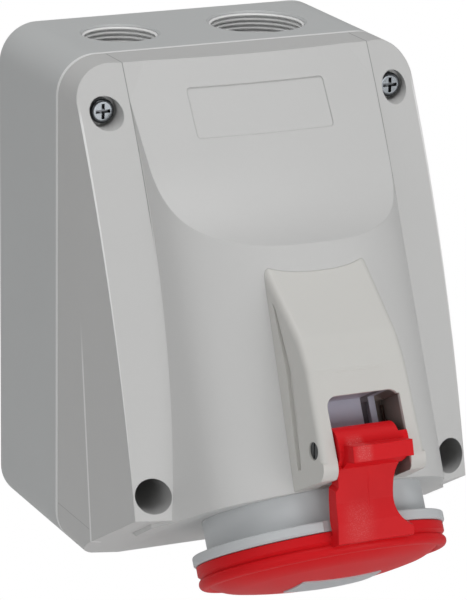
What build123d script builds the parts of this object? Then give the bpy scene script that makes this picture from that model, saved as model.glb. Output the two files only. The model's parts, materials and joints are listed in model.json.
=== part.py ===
from build123d import *
import os
from math import atan, cos, radians, sin, sqrt, tan

os.makedirs("parts", exist_ok=True)

# Wall-mounted five-pole industrial socket with a sprung lid.
# Frame: +X right seen from the front, -Y out of the wall, +Z up.
# The origin is the centre of the back face. Depths count forward from the
# wall and heights count up from the bottom edge of the box.

# Housing
box_width = 119.0
box_height = 167.0
box_depth = 51.5
corner_r = 13.0
wall_t = 3.0
seam_chamfer = 0.45
running_gap = 0.3
shaft_gap = 0.05

# Socket mouth: centre of the back of its rim, and its lean from upright
mouth_reach = 74.5
mouth_depth = box_depth + mouth_reach
mouth_height = 22.0
mouth_tilt = 28.3
underside_rise = 10.4
bore_r = 31.4
neck_wall = 1.4
neck_r = bore_r + neck_wall
collar_step = 2.7
collar_r = neck_r + collar_step
rim_step = 5.2
rim_r = collar_r + rim_step
rim_t = 3.4
neck_length = 47.0
neck_hole_gap = 0.2
bore_step = 0.5
deep_bore_r = bore_r - bore_step
deep_bore_end = -8.5
keyway_width = 6.0
keyway_depth = 2.0
notch_left = 14.6
notch_right = 10.6
notch_depth = 3.2
gasket_t = 1.0
gasket_width = 1.8
gasket_out_r = neck_r + gasket_width
retainer_width = 5.7
retainer_t = 2.4
retainer_arms = 5.0

# Front of the cover, as depths and heights on the side of the centre panel
cover_top_rise = 14.5
cover_top_depth = box_depth + cover_top_rise
cover_mid_rise = 47.8
cover_mid_depth = box_depth + cover_mid_rise
cover_mid_height = 99.0
cover_low_setback = 5.5
cover_low_depth = mouth_depth - cover_low_setback
strip_width = 16.2
panel_half_width = box_width / 2 - strip_width
strip_slope = 0.33
underside_blend_r = 14.0
side_crease_rise = 14.2
side_crease_depth = box_depth + side_crease_rise
side_crease_height = 130.0
side_crease_lean = 0.13
side_draft = 1.2
clear_of_all = 2 * cover_low_depth

# Bulge round the socket insert: half outline at one height as X and distance
# ahead of the mouth's centre, and its lean
bulge_height = 80.0
bulge_lean = 0.47
bulge_front = 10.0
bulge_outline = [(15.0, 8.6), (25.0, 4.6), (34.8, -2.6), (40.8, -11.2),
                 (43.1, -17.5), (44.4, -21.5), (47.0, -28.5), (52.0, -38.0)]

# Hinge pin, clip and spring. The pin lies ahead of the rim and above the
# plane of the underside, in the frame of the mouth
pin_ahead = 7.17027
pin_rise = 10.16301
pin_forward = rim_r + pin_ahead
pin_above = underside_rise + pin_rise
pin_depth = mouth_depth + pin_forward * cos(radians(mouth_tilt)) - pin_above * sin(radians(mouth_tilt))
pin_height = mouth_height + pin_forward * sin(radians(mouth_tilt)) + pin_above * cos(radians(mouth_tilt))
pin_r = 1.6
pin_head_r = 2.7
pin_head_t = 1.2
pin_slot_width = 0.8
pin_half_length = 17.5
clip_r = 2.6
clip_t = 0.8
spring_wire_r = 0.45
spring_coil_r = 3.2
spring_turns = 2
spring_leg_back = 11.0
spring_leg_up = 4.5
spring_leg_down = 6.2
spring_room = 0.5

# Hinge bracket: its face passes ahead of the pin and leans back to a crease
# above the window, then a knee and a ramp run back to the centre panel
bracket_face_slope = 0.53
pin_setback = 5.096
window_rise = 15.8
window_top_height = pin_height + window_rise
bracket_brow = 7.4
bracket_crease_height = window_top_height + bracket_brow
bracket_crease_depth = pin_depth + pin_setback - bracket_face_slope * (bracket_crease_height - pin_height)
knee_back = 6.6
knee_rise = 7.9
bracket_knee_depth = bracket_crease_depth - knee_back
bracket_knee_height = bracket_crease_height + knee_rise
bracket_knee_r = 14.0
ramp_back = 25.2
ramp_rise = 17.1
bracket_top_depth = bracket_knee_depth - ramp_back
bracket_top_height = bracket_knee_height + ramp_rise
bracket_half_width = 17.0
bracket_draft = 5.0
bracket_edge_r = 2.2
bracket_edge_drop = 2.3
bracket_edge_end = pin_height - bracket_edge_drop
bracket_corner_r = 5.0
window_half_width = 12.5
window_corner_r = 3.6
window_panel_depth = 11.2
window_panel_edge = 4.2
window_groove_depth = 2.0
window_strip_drop = 1.5
window_foot_drop = 25.0
window_foot_depth = 18.0
spring_rib_from = 6.9
spring_slot_from = 9.1
spring_slot_depth = 14.0
side_groove = [(-31.6, 38.8), (-29.2, 36.8), (-16.9, 20.4), (-11.2, 5.7), (-7.5, -5.0), (-6.5, -8.2),
               (-8.5, -8.8), (-13.8, 4.0), (-19.8, 19.2)]
side_groove_depth = 1.3
bracket_screw_x = 9.5
bracket_screw_rise = 6.0
bracket_screw_height = bracket_crease_height + bracket_screw_rise
bracket_screw_setback = 4.0
bracket_screw_seat = mouth_depth - bracket_screw_setback
bracket_screw_length = 18.0
bracket_screw_r = 1.6
bracket_screw_head_r = 3.0
bracket_screw_head_t = 2.4
bracket_screw_wall = 1.2

# Centre panel: a crowned slope whose lower part runs out forward into the bulge
panel_top_rise = 17.0
panel_top_depth = box_depth + panel_top_rise
panel_bend_rise = 36.0
panel_bend_depth = box_depth + panel_bend_rise
panel_straight_share = 0.5533597
panel_end_ahead = 1.6
panel_end_rise = 5.4
panel_end_depth = bracket_top_depth + panel_end_ahead
panel_end_height = bracket_top_height + panel_end_rise
panel_bend_height = box_height - panel_straight_share * (box_height - panel_end_height)
panel_crown_r = 310.0
panel_crown_turn = 14.0

# Lid, in the frame of the mouth
lid_step = 0.7
lid_r = rim_r - lid_step
lid_gap = 0.2
lid_cup_t = 3.4
lid_groove_depth = 1.0
lid_groove_r = lid_r - lid_groove_depth
lid_groove_h = 7.5
lid_nose_h = 8.5
lid_nose_depth = 3.2
lid_neck_r = lid_r - lid_nose_depth
lid_neck_h = 10.4
lid_shoulder = 10.0
lid_dome_edge_r = lid_r - lid_shoulder
lid_dome_edge_h = 13.5
lid_centre_h = 16.7
lid_wall = 2.4
lid_hollow_inset = 2.4
lid_hollow_r = bore_r - lid_hollow_inset
lid_seal_t = 2.0
lid_seal_inset = 0.4
lid_seal_in_r = bore_r + lid_seal_inset
lid_seal_edge = 2.0
lid_seal_out_r = lid_r - lid_seal_edge
knuckle_r = 6.3
arm_half_width = 11.9
neck_left = [(-11.9, 17.2), (-11.9, -11.0), (-12.9, -12.0), (-12.9, -42.8)]
neck_right = [(13.2, -25.4), (9.6, -22.8), (7.3, -19.3), (6.7, -13.3), (7.6, -8.3), (11.9, -2.8)]
arm_front = [(9.8, -13.6), (6.3, -3.5), (5.0, 2.6), (2.6, 8.6)]
arm_back = [(-10.0, 8.6), (-10.0, 6.0), (-0.6, 5.0), (-0.6, 0.5), (1.6, -6.0), (5.4, -13.6)]
tab_half_width = 10.2
tab_outline = [(1.6, 1.2), (5.6, 2.7), (11.6, 4.1), (13.0, -0.7), (8.2, -2.2), (5.0, -5.2), (0.6, -3.8)]
plate_width = 27.7
plate_height = 17.4
plate_t = 0.4
plate_glue_t = 0.02
plate_forward = 4.6

# Contacts: the earth pin is 8 mm and the others 6 mm across
contact_circle_r = 16.0
pin_clearance = 0.1
live_pin_r = 3.0
earth_pin_r = 4.0
sleeve_wall = 0.9
boss_r = 26.0
boss_face = -9.0
carrier_base = -44.0
rear_plate_t = 3.0
rear_block_t = 17.0
terminal_half = 4.6
terminal_screw_r = 2.0
terminal_screw_head_r = 3.1
terminal_screw_head_t = 2.4
wire_way_r = 2.3
rear_hub_r = 7.0
carrier_screw_circle_r = 19.0
carrier_screw_angles = (18.0, 162.0)
carrier_screw_r = 1.4
carrier_screw_head_r = 2.7
carrier_screw_grip = 3.0

# Cover screws and their bosses
screw_r = 2.0
screw_head_r = 4.0
screw_head_t = 2.6
screw_length = 30.0
screw_seat_rise = 13.9
screw_seat_depth = box_depth + screw_seat_rise
screw_seal_t = 0.8
screw_tip_depth = screw_seat_depth + screw_seal_t - screw_length
screw_tip_room = 8.7
upper_screw_inset = 8.6
upper_screw_x = box_width / 2 - upper_screw_inset
upper_screw_drop = 14.7
upper_screw_height = box_height - upper_screw_drop
lower_screw_inset = 6.9
lower_screw_x = box_width / 2 - lower_screw_inset
lower_screw_height = 38.5
upper_recess_r = 5.1
lower_recess_r = 5.5
boss_wall = 2.2

# Cable entries in the top and fixing holes in the back
entry_25_x = -27.2
entry_32_x = 22.2
entry_depth = 26.0
entry_25_r = 12.5
entry_32_r = 16.0
entry_chamfer = 0.8
entry_length = 11.0
entry_collar_t = 2.6
fixing_x = 42.0
fixing_rise = 60.0
fixing_r = 2.75

# Name field on the centre panel: a bare sunk rectangle
field_half_width = 24.0
field_drop = 8.4
field_height = 14.4
field_sink = 0.3
field_corner_r = 1.2


def level(height):
    """Height above the bottom edge, as a Z value."""
    return height - box_height / 2


def side_point(depth, height):
    """Point of a side view drawn on the YZ plane."""
    return (-depth, level(height))


mouth = Plane(
    origin=(0, -mouth_depth, level(mouth_height)),
    x_dir=(1, 0, 0),
    z_dir=(0, -sin(radians(mouth_tilt)), -cos(radians(mouth_tilt))),
)
mouth_slope = tan(radians(mouth_tilt))
pin_axis_origin = (0, -pin_depth, level(pin_height))


def underside_height(depth, inset=0.0):
    """Height of the sloping underside at a depth."""
    turn = radians(mouth_tilt)
    along = (depth - mouth_depth) / cos(turn)
    return mouth_height + (underside_rise + inset) / cos(turn) + along * sin(turn)


def ring(outer_r, inner_r, start, end):
    """Ring about the mouth axis between two distances along it."""
    face = Circle(outer_r) - Circle(inner_r)
    return extrude(mouth.offset(start) * face, amount=end - start)


def disc(radius, start, end):
    """Disc about the mouth axis between two distances along it."""
    return extrude(mouth.offset(start) * Circle(radius), amount=end - start)


def rod_y(x, height, radius, start, end):
    """Rod square to the wall between two depths."""
    return extrude(Plane.XZ.offset(start) * Pos(x, level(height)) * Circle(radius), amount=end - start)


def rod_x(depth, height, radius, start, end):
    """Rod across the object between two X values."""
    return extrude(Plane.YZ.offset(start) * Pos(*side_point(depth, height)) * Circle(radius), amount=end - start)


def pin_point(ahead, up):
    """Side-view point given ahead of and above the hinge pin."""
    return side_point(pin_depth + ahead, pin_height + up)


def housing_block(start, end, inset=0.0):
    """Rounded rectangle of the housing between two depths."""
    outline = RectangleRounded(box_width - 2 * inset, box_height - 2 * inset, corner_r - inset)
    return extrude(Plane.XZ.offset(start) * outline, amount=end - start)


def side_prism(face_points_sketch, start, end, shear=0.0):
    """Side view carried across the object, drifting back by shear per mm."""
    length = end - start
    face = Plane.YZ.offset(start) * face_points_sketch
    if shear == 0.0:
        return extrude(face, amount=length)
    travel = Vector(length, shear * abs(length), 0)
    return extrude(face, amount=travel.length, dir=travel)


def strip_profile(inset=0.0):
    """Side view of the cover beside the bulge."""
    back = box_depth - 30
    lean_inset = inset * 1.08
    top = side_point(cover_top_depth - inset, box_height - inset)
    middle = side_point(cover_mid_depth - lean_inset, cover_mid_height)
    low_depth = cover_low_depth - lean_inset
    low_height = underside_height(low_depth, inset)
    low = side_point(low_depth, low_height)
    foot = side_point(low_depth - (low_height - inset) / mouth_slope, inset)
    edge = ThreePointArc(top, middle, low)
    outline = edge + Polyline(low, foot, side_point(back, inset), side_point(back, box_height - inset), top)
    face = make_face(outline)
    corner = face.vertices().sort_by_distance(Vector(foot[0], foot[1], 0))[0]
    return fillet(corner, underside_blend_r)


def strip_body(inset=0.0):
    """Cover beside the bulge, with strips that fall back to both sides."""
    profile = strip_profile(inset)
    middle = side_prism(profile, -panel_half_width, panel_half_width)
    reach = box_width / 2 - panel_half_width + 1
    right = side_prism(profile, panel_half_width, panel_half_width + reach, strip_slope)
    left = mirror(right, about=Plane.YZ)
    return middle + right + left


def bulge_section(inset=0.0):
    """Outline of the bulge seen from above, at its reference height."""
    edge_x = bulge_outline[-1][0]
    right = [(x - inset * x / edge_x, inset - mouth_depth - ahead) for x, ahead in bulge_outline]
    left = [(-x, y) for x, y in reversed(right)]
    front = Spline(left + [(0, inset - mouth_depth - bulge_front)] + right)
    side_x, back_y = right[-1][0], -box_depth - 6
    back = Polyline(right[-1], (side_x, back_y), (-side_x, back_y), left[0])
    return make_face(front + back)


def bulge_body(inset=0.0):
    """Leaning bulge that houses the insert, before its ends are cut."""
    up = 95.0
    down = 60.0
    low_plane = Plane.XY.offset(level(bulge_height - down))
    start = low_plane * Pos(0, -bulge_lean * down) * bulge_section(inset)
    travel = Vector(0, bulge_lean * (up + down), up + down)
    return extrude(start, amount=travel.length, dir=travel)


def panel_cutter(inset=0.0):
    """What lies in front of the crowned centre panel."""
    slope = (panel_bend_depth - panel_top_depth) / (box_height - panel_bend_height)
    rise = 20.0
    shift = inset * sqrt(1 + slope * slope)
    top = side_point(panel_top_depth - slope * rise - shift, box_height + rise)
    bend = side_point(panel_bend_depth - shift, panel_bend_height)
    end = side_point(panel_end_depth, panel_end_height - inset)
    straight = Line(top, bend)
    curve = TangentArc(bend, end, tangent=(-slope, -1))
    beyond = Polyline(end, side_point(clear_of_all, panel_end_height - inset - rise), side_point(clear_of_all, box_height + rise), top)
    face = make_face(straight + curve + beyond)
    lean = atan(slope)
    away = Vector(0, panel_crown_r * cos(lean), -panel_crown_r * sin(lean))
    axis_origin = Vector(0, -panel_bend_depth, level(panel_bend_height)) + away
    axis = Axis(axis_origin, Vector(0, -slope, -1))
    sheet = Plane.YZ * face
    return revolve(sheet.rotate(axis, -panel_crown_turn), axis, revolution_arc=2 * panel_crown_turn)


def above_underside(inset=0.0):
    """Half space above the plane in which the insert is seated."""
    big = 400.0
    return extrude(mouth.offset(-underside_rise - inset) * Rectangle(big, big), amount=-big)


def side_wedge(inset=0.0):
    """What the draft takes off the right side in front of its crease."""
    along = (0, -side_crease_lean, -1)
    place = Plane(
        origin=(box_width / 2 - inset, -side_crease_depth, level(side_crease_height)), x_dir=(1, 0, 0), z_dir=along
    )
    reach = 120.0
    lost = reach * tan(radians(side_draft))
    wedge = make_face(Polyline((0, 0), (-lost, reach), (10, reach), (10, 0), close=True))
    return extrude(place * wedge, amount=2 * reach, both=True)


def cover_form(inset=0.0):
    """Solid form of the cover, drawn in by an inset for its inside."""
    block = housing_block(box_depth - (1.0 if inset else 0.0), clear_of_all, inset)
    bulge = (bulge_body(inset) - panel_cutter(inset)) & above_underside(inset)
    wedge = side_wedge(inset)
    return (strip_body(inset) + bulge) & block - wedge - mirror(wedge, about=Plane.YZ)


def screw_places():
    """X, height and recess radius of the four cover screws."""
    places = []
    for side in (-1, 1):
        places.append((side * upper_screw_x, upper_screw_height, upper_recess_r))
        places.append((side * lower_screw_x, lower_screw_height, lower_recess_r))
    return places


def contact_place(angle):
    """Place on the contact circle, turned to face outwards."""
    turn = radians(angle)
    return Pos(contact_circle_r * cos(turn), contact_circle_r * sin(turn)) * Rot(0, 0, angle)


def contact_angles():
    """Angle of each pole on the contact circle, earth opposite the hinge."""
    names = ["contact_earth", "contact_neutral", "contact_l1", "contact_l2", "contact_l3"]
    return {name: -90 + 72 * index for index, name in enumerate(names)}


def front_cover():
    """Moulded cover: strips, centre panel, bulge, screw tubes and openings."""
    outer = cover_form()
    seam = outer.edges().filter_by_position(Axis.Y, -box_depth - 0.01, -box_depth + 0.01)
    outer = chamfer(seam, seam_chamfer)
    body = outer - cover_form(wall_t)
    for x, height, recess_r in screw_places():
        tube = rod_y(x, height, recess_r + boss_wall, box_depth, clear_of_all) & outer
        body = body + tube
    for x in (-bracket_screw_x, bracket_screw_x):
        body = body + (rod_y(x, bracket_screw_height, bracket_screw_head_r + bracket_screw_wall, bracket_screw_seat, clear_of_all) & outer)
        body = body - rod_y(x, bracket_screw_height, bracket_screw_r + shaft_gap, bracket_screw_seat - 1, clear_of_all)
    for x, height, recess_r in screw_places():
        body = body - rod_y(x, height, recess_r, screw_seat_depth, clear_of_all)
        body = body - rod_y(x, height, screw_r + shaft_gap, box_depth - 1, screw_seat_depth + 1)
    body = body - disc(neck_r + neck_hole_gap, -neck_length - 8, 20)
    field = field_tool()
    return body - field


def field_tool():
    """Sunk rectangle for a name on the centre panel."""
    middle = level(box_height - field_drop - field_height / 2)
    frame = Pos(0, middle) * RectangleRounded(2 * field_half_width, field_height, field_corner_r)
    column = extrude(Plane.XZ * frame, amount=clear_of_all)
    skin = panel_cutter(field_sink) - panel_cutter()
    return column & skin


def back_box():
    """Box with four screw bosses, threaded entries and fixing holes."""
    shell = housing_block(0, box_depth) - housing_block(wall_t, box_depth + 1, wall_t)
    rim_edges = shell.faces().sort_by(Axis.Y)[0].outer_wire().edges()
    shell = chamfer(rim_edges, seam_chamfer)
    inside = housing_block(0, box_depth, 0.5)
    for x, height, recess_r in screw_places():
        shell = shell + (rod_y(x, height, screw_r + boss_wall + 1.0, 0.5, box_depth) & inside)
    for x, height, recess_r in screw_places():
        shell = shell - rod_y(x, height, screw_r + shaft_gap, screw_tip_depth - screw_tip_room, box_depth + 1)
    top = level(box_height)
    for x, radius in ((entry_25_x, entry_25_r), (entry_32_x, entry_32_r)):
        place = Plane(origin=(x, -entry_depth, top), z_dir=(0, 0, -1))
        shell = shell + extrude(place * Circle(radius + entry_collar_t), amount=entry_length)
        shell = shell - extrude(place.offset(-1) * Circle(radius), amount=entry_length + 2)
        mouth_cone = Cone(radius, radius + entry_chamfer, entry_chamfer)
        shell = shell - Pos(x, -entry_depth, top - entry_chamfer / 2) * mouth_cone
    for x in (-fixing_x, fixing_x):
        for z in (-fixing_rise, fixing_rise):
            shell = shell - rod_y(x, z + box_height / 2, fixing_r, -1, wall_t + 1)
    groove = housing_block(box_depth - gasket_t, box_depth + 1, wall_t - 2.1)
    groove = groove - housing_block(box_depth - gasket_t - 1, box_depth + 2, wall_t - 0.9)
    return shell - groove


def box_gasket():
    """Seal that lies in the rim of the box."""
    band = housing_block(box_depth - gasket_t, box_depth, wall_t - 2.1)
    return band - housing_block(box_depth - gasket_t - 1, box_depth + 1, wall_t - 0.9)


def cover_screw_set():
    """Four pan-head screws with a cross recess."""
    screws = []
    for x, height, recess_r in screw_places():
        head_top = screw_seat_depth + screw_seal_t + screw_head_t
        head = rod_y(x, height, screw_head_r, screw_seat_depth + screw_seal_t, head_top)
        head = fillet(head.edges().sort_by(Axis.Y)[0], 1.1)
        shank = rod_y(x, height, screw_r, screw_tip_depth, head_top - 1)
        slot = extrude(Plane.XZ.offset(head_top - 1.3) * Pos(x, level(height)) * Rectangle(1.1, 5.0), amount=3)
        cross = extrude(Plane.XZ.offset(head_top - 1.3) * Pos(x, level(height)) * Rectangle(5.0, 1.1), amount=3)
        screws.append(head + shank - slot - cross)
    return Compound(children=screws)


def screw_seal_set():
    """Rubber washers under the screw heads."""
    seals = []
    for x, height, recess_r in screw_places():
        outer = rod_y(x, height, screw_head_r, screw_seat_depth, screw_seat_depth + screw_seal_t)
        seals.append(outer - rod_y(x, height, screw_r + shaft_gap, screw_seat_depth - 1, screw_seat_depth + 5))
    return Compound(children=seals)


def socket_shroud():
    """Collar with its rim and keyway, and the neck that enters the cover."""
    body = ring(collar_r, bore_r, -underside_rise, 0.5) + ring(neck_r, bore_r, -neck_length, -underside_rise)
    body = body + ring(bore_r + 0.1, deep_bore_r, -neck_length, deep_bore_end)
    rim = ring(rim_r, bore_r, 0, rim_t)
    rim = fillet(rim.edges().filter_by(GeomType.CIRCLE).sort_by(SortBy.RADIUS)[-2:], 0.7)
    body = body + rim - gasket_ring()
    notch_width = notch_left + notch_right
    notch = Pos((notch_right - notch_left) / 2, rim_r - notch_depth + 5) * Rectangle(notch_width, 10)
    body = body - extrude(mouth.offset(-0.5) * notch, amount=rim_t + 2)
    keyway = Pos(0, -deep_bore_r) * Rectangle(keyway_width, 2 * keyway_depth)
    return body - extrude(mouth.offset(carrier_base) * keyway, amount=60)


def gasket_ring():
    """Room for the gasket in the collar's shoulder."""
    return ring(gasket_out_r, neck_r, -underside_rise, -underside_rise + gasket_t)


def insert_gasket():
    """Flat ring between the collar's shoulder and the cover."""
    return gasket_ring()


def insert_retainer():
    """Horseshoe plate that holds the insert from inside the cover."""
    seat = -underside_rise - wall_t
    outer_r = neck_r + retainer_width
    plate = ring(outer_r, neck_r, seat - retainer_t, seat)
    for x in (-lower_screw_x, lower_screw_x):
        tube_r = lower_recess_r + boss_wall + running_gap
        plate = plate - rod_y(x, lower_screw_height, tube_r, box_depth, clear_of_all)
    ahead = Pos(0, retainer_arms + outer_r) * Rectangle(3 * outer_r, 2 * outer_r)
    return plate - extrude(mouth.offset(seat - 2 * retainer_t) * ahead, amount=3 * retainer_t)


def contact_carrier():
    """Insulating boss with five contact holes."""
    body = disc(boss_r, carrier_base, boss_face)
    body = fillet(body.edges().filter_by(GeomType.CIRCLE).sort_by(Axis.Z)[0], 1.2)
    for name, angle in contact_angles().items():
        hole = Circle(sleeve_outer_r(name))
        body = body - extrude(mouth.offset(carrier_base - 1) * contact_place(angle) * hole, amount=60)
    return body - carrier_screw_ways()


def carrier_screw_places():
    """Places of the two carrier screws, between the contacts."""
    turns = [radians(angle) for angle in carrier_screw_angles]
    return [Pos(carrier_screw_circle_r * cos(turn), carrier_screw_circle_r * sin(turn)) for turn in turns]


def carrier_screw_ways():
    """Holes for the two screws that clamp the rear plate."""
    start = mouth.offset(carrier_base - 2 * rear_plate_t - 1)
    length = 2 * rear_plate_t + 1 + carrier_screw_grip + 0.1
    hole = Circle(carrier_screw_r + shaft_gap)
    return [extrude(start * place * hole, amount=length) for place in carrier_screw_places()]


def sleeve_outer_r(name):
    """Outer radius of a contact sleeve."""
    pin = earth_pin_r if name == "contact_earth" else live_pin_r
    return pin + pin_clearance + sleeve_wall


def contact_sleeve(name, angle):
    """Split brass sleeve with a square clamp terminal behind it."""
    outer = sleeve_outer_r(name)
    inner = outer - sleeve_wall
    place = contact_place(angle)
    top = boss_face - 1.5
    tube = extrude(mouth.offset(carrier_base) * place * Circle(outer), amount=top - carrier_base)
    tube = tube - extrude(mouth.offset(carrier_base + 6) * place * Circle(inner), amount=60)
    slit = extrude(mouth.offset(top - 16) * place * Rectangle(0.8, 3 * outer), amount=20)
    block = extrude(mouth.offset(carrier_base - rear_block_t) * place
                    * Rectangle(2 * terminal_half, 2 * terminal_half), amount=rear_block_t)
    wire_way = extrude(mouth.offset(carrier_base - rear_block_t - 1) * place * Circle(wire_way_r),
                       amount=rear_block_t - 2)
    screw_way = terminal_rod(angle, terminal_screw_r + shaft_gap, 0, terminal_half + 2)
    return tube - slit + block - wire_way - screw_way


def terminal_rod(angle, radius, start, end):
    """Rod in the line of a terminal screw, out from the middle of its block."""
    middle = carrier_base - rear_block_t + terminal_half
    along = mouth.x_dir * cos(radians(angle)) + mouth.y_dir * sin(radians(angle))
    centre = mouth.origin + mouth.z_dir * middle + along * contact_circle_r
    line = Plane(origin=centre, z_dir=along)
    return extrude(line.offset(start) * Circle(radius), amount=end - start)


def terminal_screw_set():
    """Clamp screws, one in each terminal block."""
    screws = []
    for angle in contact_angles().values():
        shank = terminal_rod(angle, terminal_screw_r, 0.5, terminal_half)
        head_end = terminal_half + terminal_screw_head_t
        head = terminal_rod(angle, terminal_screw_head_r, terminal_half, head_end)
        screws.append(shank + head)
    return Compound(children=screws)


def carrier_rear():
    """Insulating plate behind the carrier that parts the terminals."""
    seat = carrier_base - rear_plate_t
    body = disc(neck_r, seat - rear_plate_t, seat) + disc(deep_bore_r, seat, carrier_base)
    for name, angle in contact_angles().items():
        place = contact_place(angle)
        opening = Rectangle(2 * terminal_half, 2 * terminal_half)
        body = body - extrude(mouth.offset(carrier_base - 10) * place * opening, amount=20)
    hub = disc(rear_hub_r, carrier_base - rear_block_t, seat)
    return body + hub - carrier_screw_ways()


def carrier_screw_set():
    """Two long screws that clamp the rear plate to the carrier."""
    screws = []
    seat = carrier_base - 2 * rear_plate_t
    for place in carrier_screw_places():
        length = 2 * rear_plate_t + carrier_screw_grip
        shank = extrude(mouth.offset(seat) * place * Circle(carrier_screw_r), amount=length)
        head = extrude(mouth.offset(seat) * place * Circle(carrier_screw_head_r), amount=-2.2)
        screws.append(shank + head)
    return Compound(children=screws)


def bracket_outline(corner_r=0.0):
    """Side view of the bracket, its low front corner rounded if asked."""
    face_low = bracket_corner_point()
    back_low = (mouth_depth - 10, mouth_height + underside_rise + 1 - 10 * mouth_slope)
    points = [(bracket_top_depth, bracket_top_height), (bracket_knee_depth, bracket_knee_height),
              (bracket_crease_depth, bracket_crease_height), face_low, back_low]
    outline = make_face(Polyline(*[side_point(*p) for p in points], close=True))
    outline = fillet(nearest(outline, side_point(*points[1])), bracket_knee_r)
    if corner_r == 0.0:
        return outline
    return fillet(nearest(outline, side_point(*face_low)), corner_r)


def bracket_block():
    """Bracket before any cut: rounded front edges that end above square arms."""
    prism = bracket_front_prism()
    round_part = side_prism(bracket_outline(), -30, 30) & prism
    ahead = bracket_top_depth + bracket_top_height - 8
    edges = []
    for face in (round_part.faces().sort_by(Axis.X)[0], round_part.faces().sort_by(Axis.X)[-1]):
        for edge in face.edges():
            middle = edge.center()
            if box_height / 2 + middle.Z - middle.Y > ahead:
                edges.append(edge)
    round_part = fillet(edges, bracket_edge_r)
    square_part = side_prism(bracket_outline(bracket_corner_r), -30, 30) & prism
    size = 2 * box_height
    low = Pos(0, -bracket_crease_depth, level(bracket_edge_end) - size / 2) * Box(size, size, size)
    return (round_part - low) + (square_part & low)


def hinge_bracket():
    """Ramp-shaped bracket with a window between its two arms."""
    body = bracket_block() & above_underside(running_gap)
    body = body - cover_form()
    body = body - cavity_tool()
    body = body - rod_x(pin_depth, pin_height, pin_r + shaft_gap, -40, 40)
    body = body - rod_x(pin_depth, pin_height, pin_head_r + 0.15, -40, -pin_half_length + pin_head_t)
    body = body - rod_x(pin_depth, pin_height, clip_r + 0.15, pin_half_length - clip_t - 0.6, 40)
    end = bracket_screw_seat + bracket_screw_length
    for x in (-bracket_screw_x, bracket_screw_x):
        body = body - rod_y(x, bracket_screw_height, bracket_screw_r + shaft_gap, bracket_screw_seat, end + 0.3)
    return body - groove_tool()


def bracket_screw_set():
    """Two screws that hold the bracket from inside the cover."""
    screws = []
    for x in (-bracket_screw_x, bracket_screw_x):
        end = bracket_screw_seat + bracket_screw_length
        shank = rod_y(x, bracket_screw_height, bracket_screw_r, bracket_screw_seat, end)
        back = bracket_screw_seat - bracket_screw_head_t
        screws.append(shank + rod_y(x, bracket_screw_height, bracket_screw_head_r, back, bracket_screw_seat))
    return Compound(children=screws)


def nearest(shape, point):
    """Vertex of a flat shape closest to a point."""
    return shape.vertices().sort_by_distance(Vector(point[0], point[1], 0))[0]


def bracket_corner_point():
    """Low front corner, where the face meets the underside plane."""
    start = bracket_crease_depth + bracket_face_slope * bracket_crease_height
    depth = start - bracket_face_slope * underside_height(0)
    depth = depth / (1 + bracket_face_slope * mouth_slope)
    return (depth, underside_height(depth))


def bracket_front_prism(inset=0.0):
    """Column square to the bracket's lean, wider towards the housing."""
    low_depth, low_height = bracket_corner_point()
    forward = low_depth - bracket_top_depth
    drop = bracket_top_height - low_height
    ahead = 20.0
    half = bracket_half_width - inset - ahead * tan(radians(bracket_draft))
    crease = (0, -bracket_crease_depth, level(bracket_crease_height))
    place = Plane(origin=crease, x_dir=(1, 0, 0), z_dir=(0, -drop, forward))
    return extrude(place.offset(ahead) * Rectangle(2 * half, 160), amount=-90, taper=-bracket_draft)


def face_plane(behind):
    """Plane of the bracket's front face, moved back by a distance."""
    out = Vector(0, -1, bracket_face_slope).normalized()
    origin = Vector(0, -bracket_crease_depth, level(bracket_crease_height)) - out * behind
    return Plane(origin=origin, x_dir=(1, 0, 0), z_dir=out)


def cavity_tool():
    """Room for the arm between the bracket's arms, with rib and spring slot."""
    plane = face_plane(0)
    top = (bracket_crease_height - window_top_height) * sqrt(1 + bracket_face_slope ** 2)
    length = 60.0
    opening = Pos(0, -top - length / 2) * RectangleRounded(2 * window_half_width, length, window_corner_r)
    room = extrude(plane.offset(10) * opening, amount=-10 - window_panel_depth)
    groove = cavity_strip(top, length, window_panel_edge, spring_rib_from)
    slot = cavity_strip(top, length, spring_slot_from, window_half_width)
    room = room + extrude(plane * groove, amount=-window_panel_depth - window_groove_depth)
    room = room + extrude(plane * slot, amount=-spring_slot_depth)
    below = Pos(0, -top - window_foot_drop - length / 2) * Rectangle(2 * window_half_width, length)
    return room + extrude(plane.offset(10) * below, amount=-10 - window_foot_depth)


def cavity_strip(top, length, start, end):
    """Upright strip of the window between two X values."""
    return Pos((start + end) / 2, -top - window_strip_drop - length / 2) * Rectangle(end - start, length)


def groove_tool():
    """Long recess in both sides of the bracket."""
    outline = make_face(Polyline(*[pin_point(*p) for p in side_groove], close=True))
    return side_prism(outline, -40, 40) - bracket_front_prism(side_groove_depth)


def hinge_pin():
    """Steel pin with a slotted head and a groove for the clip."""
    body = rod_x(pin_depth, pin_height, pin_r, -pin_half_length + 0.2, pin_half_length - 0.3)
    head = rod_x(pin_depth, pin_height, pin_head_r, -pin_half_length, -pin_half_length + pin_head_t)
    slot = Plane.YZ.offset(-pin_half_length) * Pos(*side_point(pin_depth, pin_height)) * Rectangle(pin_slot_width, 8)
    head = head - extrude(slot, amount=0.6)
    groove = rod_x(pin_depth, pin_height, pin_r + 1, pin_half_length - clip_t - 0.6, pin_half_length - 0.6)
    groove = groove - rod_x(pin_depth, pin_height, pin_r - 0.4, 0, 40)
    return body + head - groove


def pin_clip():
    """Spring clip in the groove at the end of the pin."""
    body = rod_x(pin_depth, pin_height, clip_r - 0.1, pin_half_length - clip_t - 0.6, pin_half_length - 0.6)
    body = body - rod_x(pin_depth, pin_height, pin_r - 0.4 + 0.02, 0, 40)
    gap = Pos(-pin_depth, level(pin_height) - 3) * Rectangle(2.0, 6)
    return body - extrude(Plane.YZ.offset(10) * gap, amount=20)


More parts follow.
